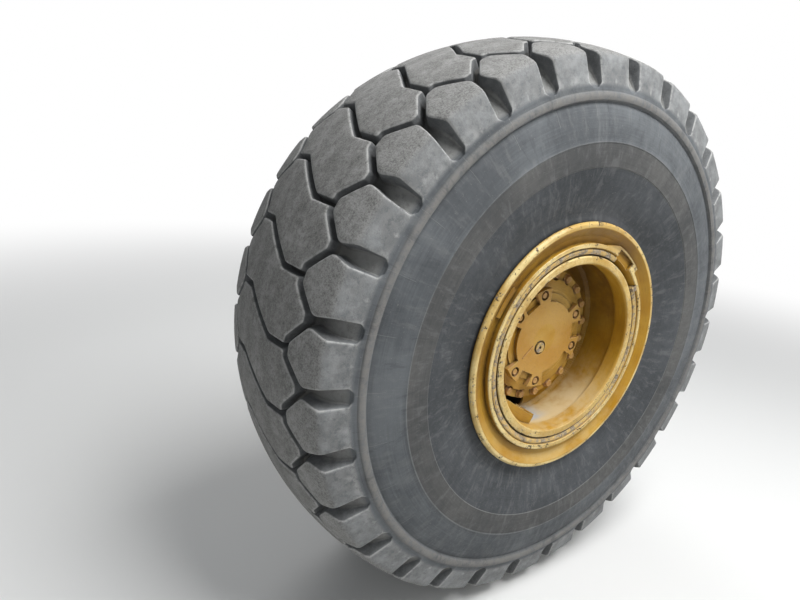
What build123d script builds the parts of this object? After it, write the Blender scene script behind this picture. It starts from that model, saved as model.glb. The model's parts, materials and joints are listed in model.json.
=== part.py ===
from build123d import *
import os
from math import atan, cos, degrees, hypot, radians, sin, tan

# Wheel end of an articulated hauler: earthmover tyre, five-piece rim and planetary final drive.
# Millimetres. The axle runs along Y, the outer side faces -Y and +Z is up. The origin is the centre
# of the axle flange's inboard face. Places "across" are measured from the wheel's centre plane,
# positive towards the side they are on. Angles are seen from the outer side, anticlockwise from +X.

# Clearances
fit_gap = 0.3            # between curved faces of pieces that are assembled
bearing_gap = 0.05       # between a bearing journal and the hub, on the radius
running_gap = 6.0        # between turning and fixed pieces

# Tyre 26.5R25. A drop is measured down from tyre_radius, on the corners between the flats of the tread
tyre_radius = 889.0
section_radius = 552.0   # where the sidewall is widest
section_half_width = 324.0
tread_set_back = 22.0    # the tread's ends stand this far inside the widest point
sidewall_drop = 172.0    # where the sidewall meets the tread's end
bead_width = 70.0
casing_flats = 60

# Tread: on each side one lug and one slot to a pitch, and a rib with zigzag edges between the two rows
pitch_count = 30
slot_start = 1.3         # angle of the first slot on the outer side
crown_half_width = 80.0  # level middle of the crown
shoulder_set_back = 19.0 # shoulder corner, from the tread's end
shoulder_drop = 46.0
lug_foot_drop = 126.0
groove_depth = 36.0
slot_foot_drop = 132.0
block_root = 12.0        # lugs and teeth reach this far under the foot of the slots
lug_length = 118.0       # from the shoulder corner to the lug's inner end
lug_end_width = 34.0
lug_taper_length = 60.0  # over which the lug's inner end widens
slot_width = 40.0        # at the tread's end
slot_inner_width = 26.0
groove_width = 18.0      # zigzag groove between lugs and rib
rib_overlap = 2.5        # the rib reaches this far under the roots of its teeth
cross_width = 17.0       # slanting grooves that cut the rib, one to a pitch

# Rim 22.00-25/3.0
bead_heel_radius = 317.5
rim_width = 558.8
flange_height = 76.2
flange_web = 10.0
flange_reach = 31.0      # from the bead's face to the outermost point of the flange
flange_straight = 34.5   # height of the flat part of the flange
flange_dish = 5.0        # rise of the dished face beside the bead
lip_chamfer = 6.0
lip_width = 16.0
bead_taper = 5.0         # degrees
band_wall = 13.2         # bead seat band at its inner end
base_wall = 14.0
stop_height = 13.5       # lip that keeps a side flange on
stop_thickness = 17.3
band_width = 107.0       # bead seat band, from its inner end to its outer end
band_rim = 12.0          # bead seat band at its outer end

# Gutter of the rim base and the lock ring in it
mouth_wall = 19.0        # under the gutter
mouth_chamfer = 4.0
mouth_length = 50.0      # of the narrow mouth of the rim base
gutter_ramp = 8.0        # from the mouth to the wider bore behind it
gutter_set_back = 3.0    # the rim base ends this far short of the bead seat band
gutter_depth = 12.0
gutter_width = 21.0
gutter_lip = 12.0
gutter_lip_drop = 4.0    # the lip is this much lower than the rim base's outside
lock_cone = 33.0         # degrees, face of the bead seat band that the lock ring wedges
lock_ring_set_back = 3.0
lock_ring_heel = 6.0
lock_ring_rise = 3.0     # of its heel over the gutter's lip
ring_gap_start = 36.0    # the ring is split from this angle
ring_gap_end = 64.0      # to this one

# Housing of the driver key, on the stop lip of the bead seat band
key_start = 44.0         # angles from which and to which it stands at full height
key_ramp_start = 66.0
key_ramp_end = 76.0      # where its ramp has come down to the lip
key_rise = 16.0          # over the lip
pocket_angle = 57.0      # middle of the pocket for the key
pocket_width = 82.0
pocket_rise = 9.0        # over the lip
key_floor = 3.0

# Rim disc
disc_face = 130.0        # its outer face, across
disc_thickness = 22.0
disc_bore_radius = 178.0
hand_hole_radius = 251.5 # of its middle line
hand_hole_width = 46.0
hand_hole_start = 88.5   # angles of the middles of its round ends
hand_hole_end = 107.5

# Valve and its guard, inside the bowl of the rim
valve_angle = 237.0
valve_place = 240.0      # across
valve_stem_radius = 8.0
valve_stem_length = 46.0
valve_stand_off = 15.0
guard_start = 200.0      # across, its open end
guard_end = 262.0        # and its closed end, in the mouth
guard_depth = 88.5       # its web's inner face, under the heel of the bead seat
guard_width = 148.0
guard_wall = 8.0

# Final drive housing
bolt_count = 20
bolt_start = 8.0
bolt_circle_radius = 204.0
drive_flange_radius = 218.0
drive_flange_thickness = 35.0
drum_radius = 190.0
drum_rise = 9.0
drum_top_radius = 156.0
drum_cone_rise = 9.0
bolt_seat_radius = 19.5  # flat seat round each bolt's head, cut into the drum

# Planet cover with three bolted ears
cover_radius = 121.0
cover_rise = 17.0        # its face over the drum
shelf_radius = 146.0
shelf_rise = 5.0
ear_count = 3
ear_start = 4.7
ear_radius = 166.0
ear_half_angle = 33.4
ear_bolt_angle = 22.4    # each side of the ear's middle
ear_bolt_radius = 147.0
ear_seat_radius = 16.0
ear_seat_depth = 13.0
ear_notch_width = 57.0
ear_notch_radius = 122.0
plug_x = -16.0
plug_z = -29.0
plug_seat_radius = 23.5
plug_seat_depth = 6.0
plug_radius = 17.5
plug_height = 9.0
plug_square = 9.5
plug_square_depth = 7.0

# Hub
hub_flange_radius = 216.0
hub_flange_thickness = 28.0
hub_barrel_radius = 168.0
hub_length = 170.0

# Spindle
journal_radius = 92.0
journal_length = 46.0
journal_relief = 4.0
shaft_bore_radius = 48.0
neck_radius = 128.0
centre_offset = 300.0    # wheel's centre plane to the axle flange's inboard face
axle_flange_radius = 215.0
axle_flange_thickness = 32.0
axle_bolt_count = 16
axle_bolt_circle_radius = 185.0
axle_bolt_hole_radius = 10.5
pilot_radius = 80.0
pilot_depth = 8.0

# Brake housing
brake_room = 33.0        # between its flange and the rim base round it
brake_step = 12.0        # from its flange to its nose, and from its nose to its drum
brake_nose_length = 46.0
brake_flange_thickness = 22.0
brake_rib_count = 12
brake_rib_thickness = 12.0
brake_rib_root = 2.0     # ribs reach this far into the drum
port_angles = (72.0, 90.0, 108.0)
port_radius = 10.0
port_height = 14.0
port_inset = 17.0        # ports' middles, from the flange's edge

# Half section of the wheel: x is the radius, y is along the axle, negative on the outer side
section = Plane(origin=(0, -centre_offset, 0), x_dir=(1, 0, 0), z_dir=(0, 0, 1))


def facing_out(across):
    """Plane that looks to the outer side, this far out from the wheel's centre plane."""
    return Plane(origin=(0, -centre_offset - across, 0), x_dir=(1, 0, 0), z_dir=(0, -1, 0))


def facing_in(across):
    """Plane that looks inboard, this far inboard of the wheel's centre plane. Its y points down."""
    return Plane(origin=(0, across - centre_offset, 0), x_dir=(1, 0, 0), z_dir=(0, 1, 0))


def polar(radius, angle):
    """Point at a radius and an angle in degrees."""
    return (radius * cos(radians(angle)), radius * sin(radians(angle)))


# Places that several pieces share, all from the sizes above
bead_face = rim_width / 2
flange_back = bead_face + flange_web
flange_tip = bead_heel_radius + flange_height
flange_bend = bead_heel_radius + flange_straight
flange_out = bead_face + flange_reach
stop_face = flange_back + fit_gap
stop_radius = bead_heel_radius + stop_height
band_end = stop_face + stop_thickness
band_toe = band_end - band_width
taper = tan(radians(bead_taper))
seat_toe_radius = bead_heel_radius - (bead_face - band_toe) * taper
base_radius = seat_toe_radius - band_wall - fit_gap
base_bore_radius = base_radius - base_wall
base_end = band_end - gutter_set_back
gutter_floor = base_radius - gutter_depth
gutter_outer = base_end - gutter_lip
gutter_inner = gutter_outer - gutter_width
gutter_lip_radius = base_radius - gutter_lip_drop
gutter_weld = base_end - mouth_length - gutter_ramp
mouth_radius = gutter_floor - mouth_wall
guard_web_place = bead_heel_radius - guard_depth
cone_radius = stop_radius - band_rim
cone_slope = tan(radians(lock_cone))
drive_face = disc_face + drive_flange_thickness
drum_face = drive_face + drum_rise + drum_cone_rise
cover_face = drum_face + cover_rise
hub_face = disc_face - disc_thickness
hub_end = hub_length - hub_face
spindle_end = hub_face - running_gap
neck_end = hub_end + running_gap
axle_flange_face = centre_offset - axle_flange_thickness
brake_flange_radius = base_bore_radius - brake_room
brake_nose_radius = brake_flange_radius - brake_step
brake_radius = brake_nose_radius - brake_step

os.makedirs("parts", exist_ok=True)

# Tyre, made in two halves with the wheel's axis along Z and the tread's end up. A profile holds a
# drum's corner radius and height, from its wide end. The tread has one flat to a pitch.
pitch = 360 / pitch_count
half_pitch = pitch / 2
tread_half_width = section_half_width - tread_set_back
shoulder_half_width = tread_half_width - shoulder_set_back
shoulder_radius = tyre_radius - shoulder_drop
half_pitch_length = (tyre_radius - shoulder_drop / 2) * radians(half_pitch)
lug_inner_end = shoulder_half_width - lug_length
lug_flare = lug_inner_end + lug_taper_length
lug_half_width = half_pitch_length - slot_inner_width / 2
taper_slope = lug_taper_length / (lug_half_width - lug_end_width / 2)
tooth_tip = lug_flare + slot_inner_width / 2 * taper_slope - groove_width * hypot(1, taper_slope)
tooth_root = tooth_tip - half_pitch_length * taper_slope
rib_half_width = tooth_root - rib_overlap
crown_slope = shoulder_drop / (shoulder_half_width - crown_half_width)
rib_drop = (rib_half_width - crown_half_width) * crown_slope
crown_profile = (
    (tyre_radius, 0),
    (tyre_radius, crown_half_width),
    (shoulder_radius, shoulder_half_width),
    (tyre_radius - lug_foot_drop, tread_half_width),
)
rib_profile = (
    (tyre_radius, 0),
    (tyre_radius, crown_half_width),
    (tyre_radius - rib_drop, rib_half_width),
)
floor_profile = (
    (tyre_radius - groove_depth, 0),
    (tyre_radius - groove_depth, rib_half_width),
    (tyre_radius - slot_foot_drop, tread_half_width),
)
lug_outline = (
    (half_pitch_length - slot_width / 2, tread_half_width),
    (lug_half_width, lug_flare),
    (lug_end_width / 2, lug_inner_end),
    (-lug_end_width / 2, lug_inner_end),
    (-lug_half_width, lug_flare),
    (slot_width / 2 - half_pitch_length, tread_half_width),
)
tooth_base = rib_half_width - rib_overlap
tooth_half_width = (tooth_tip - tooth_base) / taper_slope
tooth_outline = ((-tooth_half_width, tooth_base), (tooth_half_width, tooth_base), (0, tooth_tip))
cross_end = tooth_root + groove_width / 2
cross_shift = half_pitch_length / 2 * cross_end / tooth_root
cross_outline = (
    (-cross_width / 2, 0),
    (cross_width / 2, 0),
    (cross_shift + cross_width / 2, cross_end),
    (cross_shift - cross_width / 2, cross_end),
)


def half_drum(profile, flats):
    """Upper half of a drum with this many flats."""
    with BuildPart() as drum:
        for (wide, foot), (narrow, top) in zip(profile, profile[1:]):
            fall = (wide - narrow) * cos(radians(180 / flats))
            with BuildSketch(Plane.XY.offset(foot)):
                RegularPolygon(wide, flats)
            extrude(amount=top - foot, taper=degrees(atan(fall / (top - foot))))
    return drum.part


crown_drum = half_drum(crown_profile, pitch_count)


def tread_prism(outline, angle, depth):
    """Prism with this outline, seen from outside, with its origin at this angle, down to this depth."""
    outside = Plane(
        origin=(*polar(tyre_radius, angle), 0),
        x_dir=(*polar(1, angle + 90), 0),
        z_dir=(*polar(1, angle), 0),
    )
    with BuildPart() as prism:
        with BuildSketch(outside):
            Polygon(*outline, align=None)
        extrude(amount=-depth)
    return prism.part


def tread_block(outline, angle):
    """Block of the tread, cut off at the crown."""
    with BuildPart() as block:
        add(tread_prism(outline, angle, slot_foot_drop + block_root))
        add(crown_drum, mode=Mode.INTERSECT)
    return block.part


# The sidewall bulges outside the tread's end and is hollow towards the bead. The hollow is made with
# its mouth down
heel_radius = bead_heel_radius + fit_gap
bead_side = bead_face - fit_gap
bulge_profile = ((tyre_radius - sidewall_drop, tread_half_width), (section_radius, section_half_width))
hollow_profile = ((section_radius, -section_half_width), (flange_bend, -bead_side))
bulge = half_drum(bulge_profile, casing_flats)
hollow = half_drum(hollow_profile, casing_flats)

# The two sides of the tread differ by half a pitch
rib_drum = half_drum(rib_profile, pitch_count)
floor_drum = half_drum(floor_profile, pitch_count)
tyre_halves = []
for lug_angle, tooth_angle in ((half_pitch, 0), (0, half_pitch)):
    lug = tread_block(lug_outline, lug_angle)
    tooth = tread_block(tooth_outline, tooth_angle)
    cross_groove = tread_prism(cross_outline, lug_angle - half_pitch / 2, groove_depth + block_root)
    with BuildPart() as tyre_half:
        add(rib_drum)
        with PolarLocations(0, pitch_count):
            add(tooth)
        with PolarLocations(0, pitch_count):
            add(cross_groove, mode=Mode.SUBTRACT)
        add(floor_drum)
        with PolarLocations(0, pitch_count):
            add(lug)
        add(bulge)
        with Locations(Rotation(180, 0, 0)):
            add(hollow, mode=Mode.SUBTRACT)
    tyre_halves.append(tyre_half.part)

# The casing is solid down to its beads
with BuildPart(facing_out(0)) as tyre:
    with Locations(Rotation(0, 0, slot_start)):
        add(tyre_halves[0])
    with Locations(Rotation(180, 0, -slot_start)):
        add(tyre_halves[1])
    with BuildSketch(section):
        with BuildLine():
            Polyline(
                (0, -bead_side),
                (heel_radius, -bead_side),
                (heel_radius - bead_width * taper, -bead_side + bead_width),
                (heel_radius - bead_width * taper, bead_side - bead_width),
                (heel_radius, bead_side),
                (0, bead_side),
                close=True,
            )
        make_face()
    revolve(axis=Axis.Y, mode=Mode.SUBTRACT)
tyre.part.label = "tyre"
export_step(tyre.part, "parts/tyre.step")

# Side flanges, the outer one held by the bead seat band and the inner one by the back section
flange_flare = bead_face + flange_reach / 2
for name, side in (("outer_side_flange", -1), ("inner_side_flange", 1)):
    flange_profile = (
        (heel_radius, bead_face),
        (flange_bend, bead_face),
        (flange_tip, flange_flare),
        (flange_tip, flange_out - lip_chamfer),
        (flange_tip - lip_chamfer, flange_out),
        (flange_tip - lip_width, flange_out),
        (flange_bend, flange_back + flange_dish),
        (stop_radius + fit_gap, flange_back),
        (heel_radius, flange_back),
    )
    with BuildPart() as side_flange:
        with BuildSketch(section):
            with BuildLine():
                Polyline(*[(radius, side * across) for radius, across in flange_profile], close=True)
            make_face()
        revolve(axis=Axis.Y)
    side_flange.part.label = name
    export_step(side_flange.part, f"parts/{name}.step")

# Rim base, welded up from the gutter section, a plain band and the back section with the fixed bead seat
with BuildPart() as gutter_section:
    with BuildSketch(section):
        with BuildLine():
            Polyline(
                (mouth_radius, -base_end + mouth_chamfer),
                (mouth_radius + mouth_chamfer, -base_end),
                (gutter_lip_radius, -base_end),
                (gutter_lip_radius, -gutter_outer),
                (gutter_floor, -gutter_outer),
                (gutter_floor, -gutter_inner),
                (base_radius, -gutter_inner + gutter_depth / 2),
                (base_radius, -gutter_weld),
                (base_bore_radius, -gutter_weld),
                (mouth_radius, -gutter_weld - gutter_ramp),
                close=True,
            )
        make_face()
    revolve(axis=Axis.Y)
gutter_section.part.label = "gutter_section"
export_step(gutter_section.part, "parts/gutter_section.step")

with BuildPart() as rim_base:
    with BuildSketch(facing_out(-band_toe)):
        Circle(base_radius)
        Circle(base_bore_radius, mode=Mode.SUBTRACT)
    extrude(amount=gutter_weld + band_toe)
rim_base.part.label = "rim_base"
export_step(rim_base.part, "parts/rim_base.step")

with BuildPart() as back_section:
    with BuildSketch(section):
        with BuildLine():
            Polyline(
                (base_bore_radius, band_toe),
                (seat_toe_radius, band_toe),
                (bead_heel_radius, bead_face),
                (bead_heel_radius, stop_face),
                (stop_radius, stop_face),
                (stop_radius, band_end),
                (base_bore_radius, band_end),
                close=True,
            )
        make_face()
    revolve(axis=Axis.Y)
back_section.part.label = "back_section"
export_step(back_section.part, "parts/back_section.step")

# Bead seat band, with the housing of the driver key on its stop lip
band_bore_radius = base_radius + fit_gap
cone_length = (cone_radius - band_bore_radius) / cone_slope
key_top = stop_radius + key_rise
key_back = flange_back + flange_dish + fit_gap
pocket_top = stop_radius + pocket_rise
with BuildPart() as bead_seat_band:
    with BuildSketch(section):
        with BuildLine():
            Polyline(
                (band_bore_radius, -band_toe),
                (seat_toe_radius, -band_toe),
                (bead_heel_radius, -bead_face),
                (bead_heel_radius, -stop_face),
                (stop_radius, -stop_face),
                (stop_radius, -band_end),
                (cone_radius, -band_end),
                (band_bore_radius, -band_end + cone_length),
                close=True,
            )
        make_face()
    revolve(axis=Axis.Y)
    with BuildSketch(facing_out(key_back)):
        with BuildLine():
            key_edge = CenterArc((0, 0), key_top, key_start, key_ramp_start - key_start)
            lip_edge = CenterArc((0, 0), cone_radius, key_start, key_ramp_end - key_start)
            Line(lip_edge @ 0, key_edge @ 0)
            Polyline(key_edge @ 1, polar(stop_radius, key_ramp_end), lip_edge @ 1)
        make_face()
    extrude(amount=band_end - key_back)
    with BuildSketch(facing_out(band_end)):
        with PolarLocations((base_radius + pocket_top) / 2, 1, pocket_angle):
            Rectangle(pocket_top - base_radius, pocket_width)
    extrude(amount=key_back + key_floor - band_end, mode=Mode.SUBTRACT)
bead_seat_band.part.label = "bead_seat_band"
export_step(bead_seat_band.part, "parts/bead_seat_band.step")

# Lock ring, split beside the driver key
ring_end = band_end - lock_ring_set_back
ring_cone_drop = fit_gap / cos(radians(lock_cone))
ring_top = cone_radius - ring_cone_drop - lock_ring_set_back * cone_slope
ring_inner = gutter_inner + fit_gap
with BuildPart() as lock_ring:
    with BuildSketch(section):
        with BuildLine():
            Polyline(
                (gutter_floor + fit_gap, -ring_inner),
                (gutter_floor + fit_gap, -gutter_outer + fit_gap),
                (gutter_lip_radius + fit_gap, -gutter_outer + fit_gap),
                (gutter_lip_radius + lock_ring_rise, -gutter_outer - lock_ring_heel),
                (ring_top, -ring_end),
                (ring_top - (ring_end - ring_inner) * cone_slope, -ring_inner),
                close=True,
            )
        make_face()
    revolve(axis=Axis.Y)
    with BuildSketch(facing_out(band_toe)):
        with BuildLine():
            Polyline(
                (0, 0),
                polar(2 * stop_radius, ring_gap_start),
                polar(2 * stop_radius, ring_gap_end),
                close=True,
            )
        make_face()
    extrude(amount=band_width, mode=Mode.SUBTRACT)
lock_ring.part.label = "lock_ring"
export_step(lock_ring.part, "parts/lock_ring.step")

# Rim disc with a hand hole, welded into the rim base
end_radius = hand_hole_width / 2
with BuildPart() as rim_disc:
    with BuildSketch(facing_out(hub_face)):
        Circle(base_bore_radius - fit_gap)
        Circle(disc_bore_radius, mode=Mode.SUBTRACT)
        with BuildLine():
            for side_radius in (hand_hole_radius - end_radius, hand_hole_radius + end_radius):
                CenterArc((0, 0), side_radius, hand_hole_start, hand_hole_end - hand_hole_start)
            CenterArc(polar(hand_hole_radius, hand_hole_start), end_radius, hand_hole_start, -180)
            CenterArc(polar(hand_hole_radius, hand_hole_end), end_radius, hand_hole_end, 180)
        make_face(mode=Mode.SUBTRACT)
    extrude(amount=disc_thickness)
rim_disc.part.label = "rim_disc"
export_step(rim_disc.part, "parts/rim_disc.step")

# Valve and the bent plate that guards it, on the wall of the bowl and closed towards the mouth
stem_radius = base_bore_radius - valve_stand_off
with BuildPart() as valve_stem:
    with BuildSketch(facing_out(valve_place - valve_stem_length)):
        with PolarLocations(stem_radius, 1, valve_angle):
            Circle(valve_stem_radius)
    extrude(amount=valve_stem_length)
    with BuildSketch(facing_out(valve_place - valve_stem_length)):
        with PolarLocations(stem_radius + valve_stand_off / 2, 1, valve_angle):
            Rectangle(valve_stand_off, 2 * valve_stem_radius)
        Circle(base_bore_radius - fit_gap, mode=Mode.INTERSECT)
    extrude(amount=2 * valve_stem_radius)
valve_stem.part.label = "valve_stem"
export_step(valve_stem.part, "parts/valve_stem.step")

with BuildPart() as valve_guard:
    for guard_from, guard_to, guard_reach in (
        (guard_start, gutter_weld - fit_gap, base_bore_radius - fit_gap),
        (gutter_weld - fit_gap, guard_end, mouth_radius - fit_gap),
    ):
        with BuildSketch(facing_out(guard_from)):
            with PolarLocations((guard_web_place + guard_reach) / 2, 1, valve_angle):
                Rectangle(guard_reach - guard_web_place, guard_width)
            with PolarLocations((guard_web_place + guard_wall + guard_reach) / 2, 1, valve_angle):
                Rectangle(guard_reach - guard_web_place - guard_wall, guard_width - 2 * guard_wall, mode=Mode.SUBTRACT)
            Circle(guard_reach, mode=Mode.INTERSECT)
        extrude(amount=guard_to - guard_from)
    with BuildSketch(facing_out(guard_end)):
        with PolarLocations((guard_web_place + mouth_radius) / 2, 1, valve_angle):
            Rectangle(mouth_radius - guard_web_place, guard_width)
        Circle(mouth_radius - fit_gap, mode=Mode.INTERSECT)
    extrude(amount=-guard_wall)
valve_guard.part.label = "valve_guard"
export_step(valve_guard.part, "parts/valve_guard.step")

# Final drive housing: bolt flange and drum, with a flat seat round each bolt
with BuildPart() as drive_housing:
    with BuildSketch(section):
        with BuildLine():
            Polyline(
                (0, -hub_face),
                (disc_bore_radius - fit_gap, -hub_face),
                (disc_bore_radius - fit_gap, -disc_face),
                (drive_flange_radius, -disc_face),
                (drive_flange_radius, -drive_face),
                (drum_radius, -drive_face),
                (drum_radius, -drive_face - drum_rise),
                (drum_top_radius, -drum_face),
                (0, -drum_face),
                close=True,
            )
        make_face()
    revolve(axis=Axis.Y)
    with BuildSketch(facing_out(drive_face)):
        with PolarLocations(bolt_circle_radius, bolt_count, bolt_start):
            Circle(bolt_seat_radius)
    extrude(amount=drum_rise + drum_cone_rise, mode=Mode.SUBTRACT)
drive_housing.part.label = "drive_housing"
export_step(drive_housing.part, "parts/drive_housing.step")

# Planet cover: stepped disc and three ears, each with two bolt seats and a notch between them
with BuildPart() as planet_cover:
    with BuildSketch(facing_out(drum_face)):
        Circle(shelf_radius)
    extrude(amount=shelf_rise)
    with BuildSketch(facing_out(drum_face)):
        with PolarLocations(0, ear_count, ear_start):
            Polygon(
                (0, 0),
                polar(2 * ear_radius, -ear_half_angle),
                polar(2 * ear_radius, ear_half_angle),
                align=None,
            )
        Circle(ear_radius, mode=Mode.INTERSECT)
        Circle(cover_radius)
        with PolarLocations(ear_notch_radius + ear_radius / 2, ear_count, ear_start):
            Rectangle(ear_radius, ear_notch_width, mode=Mode.SUBTRACT)
    extrude(amount=cover_rise)
    with BuildSketch(facing_out(cover_face)):
        for bolt_side in (-1, 1):
            with PolarLocations(ear_bolt_radius, ear_count, ear_start + bolt_side * ear_bolt_angle):
                Circle(ear_seat_radius)
    extrude(amount=-ear_seat_depth, mode=Mode.SUBTRACT)
    with BuildSketch(facing_out(cover_face)):
        with Locations((plug_x, plug_z)):
            Circle(plug_seat_radius)
    extrude(amount=-plug_seat_depth, mode=Mode.SUBTRACT)
planet_cover.part.label = "planet_cover"
export_step(planet_cover.part, "parts/planet_cover.step")

# Level plug
with BuildPart() as level_plug:
    with BuildSketch(facing_out(cover_face - plug_seat_depth)):
        with Locations((plug_x, plug_z)):
            Circle(plug_radius)
    extrude(amount=plug_height)
    with BuildSketch(facing_out(cover_face - plug_seat_depth + plug_height)):
        with Locations((plug_x, plug_z)):
            Rectangle(plug_square, plug_square)
    extrude(amount=-plug_square_depth, mode=Mode.SUBTRACT)
level_plug.part.label = "level_plug"
export_step(level_plug.part, "parts/level_plug.step")

# Hub, which turns on the two journals of the spindle
bearing_radius = journal_radius + bearing_gap
with BuildPart() as wheel_hub:
    with BuildSketch(section):
        with BuildLine():
            Polyline(
                (bearing_radius, -hub_face),
                (hub_flange_radius, -hub_face),
                (hub_flange_radius, -hub_face + hub_flange_thickness),
                (hub_barrel_radius, -hub_face + hub_flange_thickness),
                (hub_barrel_radius, hub_end),
                (bearing_radius, hub_end),
                (bearing_radius, hub_end - journal_length),
                (bearing_radius + journal_relief, hub_end - journal_length),
                (bearing_radius + journal_relief, -hub_face + journal_length),
                (bearing_radius, -hub_face + journal_length),
                close=True,
            )
        make_face()
    revolve(axis=Axis.Y)
wheel_hub.part.label = "wheel_hub"
export_step(wheel_hub.part, "parts/wheel_hub.step")

# Spindle with the flange that the axle housing bolts to
with BuildPart() as axle_spindle:
    with BuildSketch(section):
        with BuildLine():
            Polyline(
                (shaft_bore_radius, -spindle_end),
                (journal_radius, -spindle_end),
                (journal_radius, neck_end),
                (neck_radius, neck_end),
                (neck_radius, axle_flange_face),
                (axle_flange_radius, axle_flange_face),
                (axle_flange_radius, centre_offset),
                (pilot_radius, centre_offset),
                (pilot_radius, centre_offset - pilot_depth),
                (shaft_bore_radius, centre_offset - pilot_depth),
                close=True,
            )
        make_face()
    revolve(axis=Axis.Y)
    with BuildSketch(facing_in(centre_offset)):
        with PolarLocations(axle_bolt_circle_radius, axle_bolt_count):
            Circle(axle_bolt_hole_radius)
    extrude(amount=-axle_flange_thickness, mode=Mode.SUBTRACT)
axle_spindle.part.label = "axle_spindle"
export_step(axle_spindle.part, "parts/axle_spindle.step")

# Brake housing, fixed to the spindle's flange, with ribs and the ports for its oil
brake_rib_foot = brake_radius - brake_rib_root
with BuildPart() as brake_housing:
    with BuildSketch(section):
        with BuildLine():
            Polyline(
                (neck_radius + fit_gap, neck_end),
                (brake_nose_radius, neck_end),
                (brake_nose_radius, neck_end + brake_nose_length),
                (brake_radius, neck_end + brake_nose_length),
                (brake_radius, axle_flange_face - brake_flange_thickness),
                (brake_flange_radius, axle_flange_face - brake_flange_thickness),
                (brake_flange_radius, axle_flange_face),
                (neck_radius + fit_gap, axle_flange_face),
                close=True,
            )
        make_face()
    revolve(axis=Axis.Y)
    with BuildSketch(facing_in(neck_end)):
        with PolarLocations((brake_rib_foot + brake_nose_radius) / 2, brake_rib_count):
            Rectangle(brake_nose_radius - brake_rib_foot, brake_rib_thickness)
    extrude(amount=axle_flange_face - neck_end)
    with BuildSketch(facing_in(axle_flange_face)):
        for port_angle in port_angles:
            with Locations(polar(brake_flange_radius - port_inset, -port_angle)):
                Circle(port_radius)
    extrude(amount=port_height)
brake_housing.part.label = "brake_housing"
export_step(brake_housing.part, "parts/brake_housing.step")
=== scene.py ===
import functools
import json
import math

import bmesh
import bpy
import numpy as np
from mathutils import Matrix, Vector, noise
from mathutils.geometry import delaunay_2d_cdt


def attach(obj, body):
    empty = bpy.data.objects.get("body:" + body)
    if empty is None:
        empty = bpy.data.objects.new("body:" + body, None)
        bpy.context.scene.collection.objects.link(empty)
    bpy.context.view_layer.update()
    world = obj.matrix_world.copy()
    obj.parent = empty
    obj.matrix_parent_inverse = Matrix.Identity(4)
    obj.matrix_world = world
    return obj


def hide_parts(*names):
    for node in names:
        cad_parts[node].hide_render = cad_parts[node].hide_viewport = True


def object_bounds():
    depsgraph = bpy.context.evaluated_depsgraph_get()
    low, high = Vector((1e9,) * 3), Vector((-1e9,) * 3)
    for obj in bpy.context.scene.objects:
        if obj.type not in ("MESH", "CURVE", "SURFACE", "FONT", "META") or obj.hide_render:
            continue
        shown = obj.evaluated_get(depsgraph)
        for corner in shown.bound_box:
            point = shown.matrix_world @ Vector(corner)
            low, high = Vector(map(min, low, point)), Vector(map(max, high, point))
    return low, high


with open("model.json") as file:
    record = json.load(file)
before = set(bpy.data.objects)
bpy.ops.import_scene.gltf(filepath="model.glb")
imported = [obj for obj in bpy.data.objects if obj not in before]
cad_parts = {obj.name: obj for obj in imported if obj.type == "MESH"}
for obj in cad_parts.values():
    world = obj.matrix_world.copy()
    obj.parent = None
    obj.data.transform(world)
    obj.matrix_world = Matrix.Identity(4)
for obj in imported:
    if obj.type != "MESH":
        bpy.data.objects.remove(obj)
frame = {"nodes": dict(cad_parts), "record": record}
cad_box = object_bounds()

# Wheel end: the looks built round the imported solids, in metres. Places "across" are measured from the
# wheel's centre plane, positive on the outer side, which faces -Y. Angles are seen from the outer side,
# anticlockwise from +X, in radians unless a comment says degrees.

CENTRE_Y = -0.300  # the wheel's centre plane
FLOOR_Z = cad_box[0][2]  # the tyre stands on the floor
PITCHES = 30  # of the tread's pattern
SLOT_START = math.radians(1.3)  # middle of the first slot on the outer side


def place(radius, angle, across):
    """Point of the part frame at a radius, an angle and a place across."""
    return Vector((radius * math.cos(angle), CENTRE_Y - across, radius * math.sin(angle)))


def spot(radius, degrees):
    """Point (x, z) at a radius and an angle in degrees."""
    return Vector((radius * math.cos(math.radians(degrees)), radius * math.sin(math.radians(degrees))))


def lifted(point, across):
    """Point of the part frame from a point (x, z) and a place across."""
    return Vector((point.x, CENTRE_Y - across, point.y))


# Meshes

MERGE_DISTANCE = 2e-5


def add_piece(name, verts, faces, slot, sharp, replaces=(), body="wheel"):
    """Object with this mesh in the finish of its slot. Edges over the sharp angle, in degrees, stay sharp."""
    mesh = bpy.data.meshes.new(name)
    mesh.from_pydata(verts, [], faces)
    bm = bmesh.new()
    bm.from_mesh(mesh)
    bmesh.ops.remove_doubles(bm, verts=bm.verts, dist=MERGE_DISTANCE)
    bmesh.ops.recalc_face_normals(bm, faces=bm.faces)
    bm.to_mesh(mesh)
    bm.free()
    mesh.shade_smooth()
    mesh.set_sharp_from_angle(angle=math.radians(sharp))
    mesh.materials.append(MATERIALS[slot])
    obj = bpy.data.objects.new(name, mesh)
    bpy.context.scene.collection.objects.link(obj)
    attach(obj, body)
    if replaces:
        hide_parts(*replaces)
    return obj


def fillet(points, radii, closed, steps):
    """The path with its corners rounded in so many steps, each with the radius given for it."""
    out = []
    count = len(points)
    for i, (corner, radius) in enumerate(zip(points, radii)):
        if radius <= 0 or (not closed and i in (0, count - 1)):
            out.append(corner)
            continue
        before, after = points[i - 1], points[(i + 1) % count]
        a, b = before - corner, after - corner
        half = a.angle(b) / 2
        reach = min(radius / math.tan(half), 0.48 * a.length, 0.48 * b.length)
        start, end = corner + a.normalized() * reach, corner + b.normalized() * reach
        middle = (a.normalized() + b.normalized()).normalized()
        centre = corner + middle * (reach / math.cos(half))
        fitted = (start - centre).length
        for k in range(steps + 1):
            spoke = (start - centre).lerp(end - centre, k / steps).normalized()
            out.append(centre + spoke * fitted)
    return out


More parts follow.
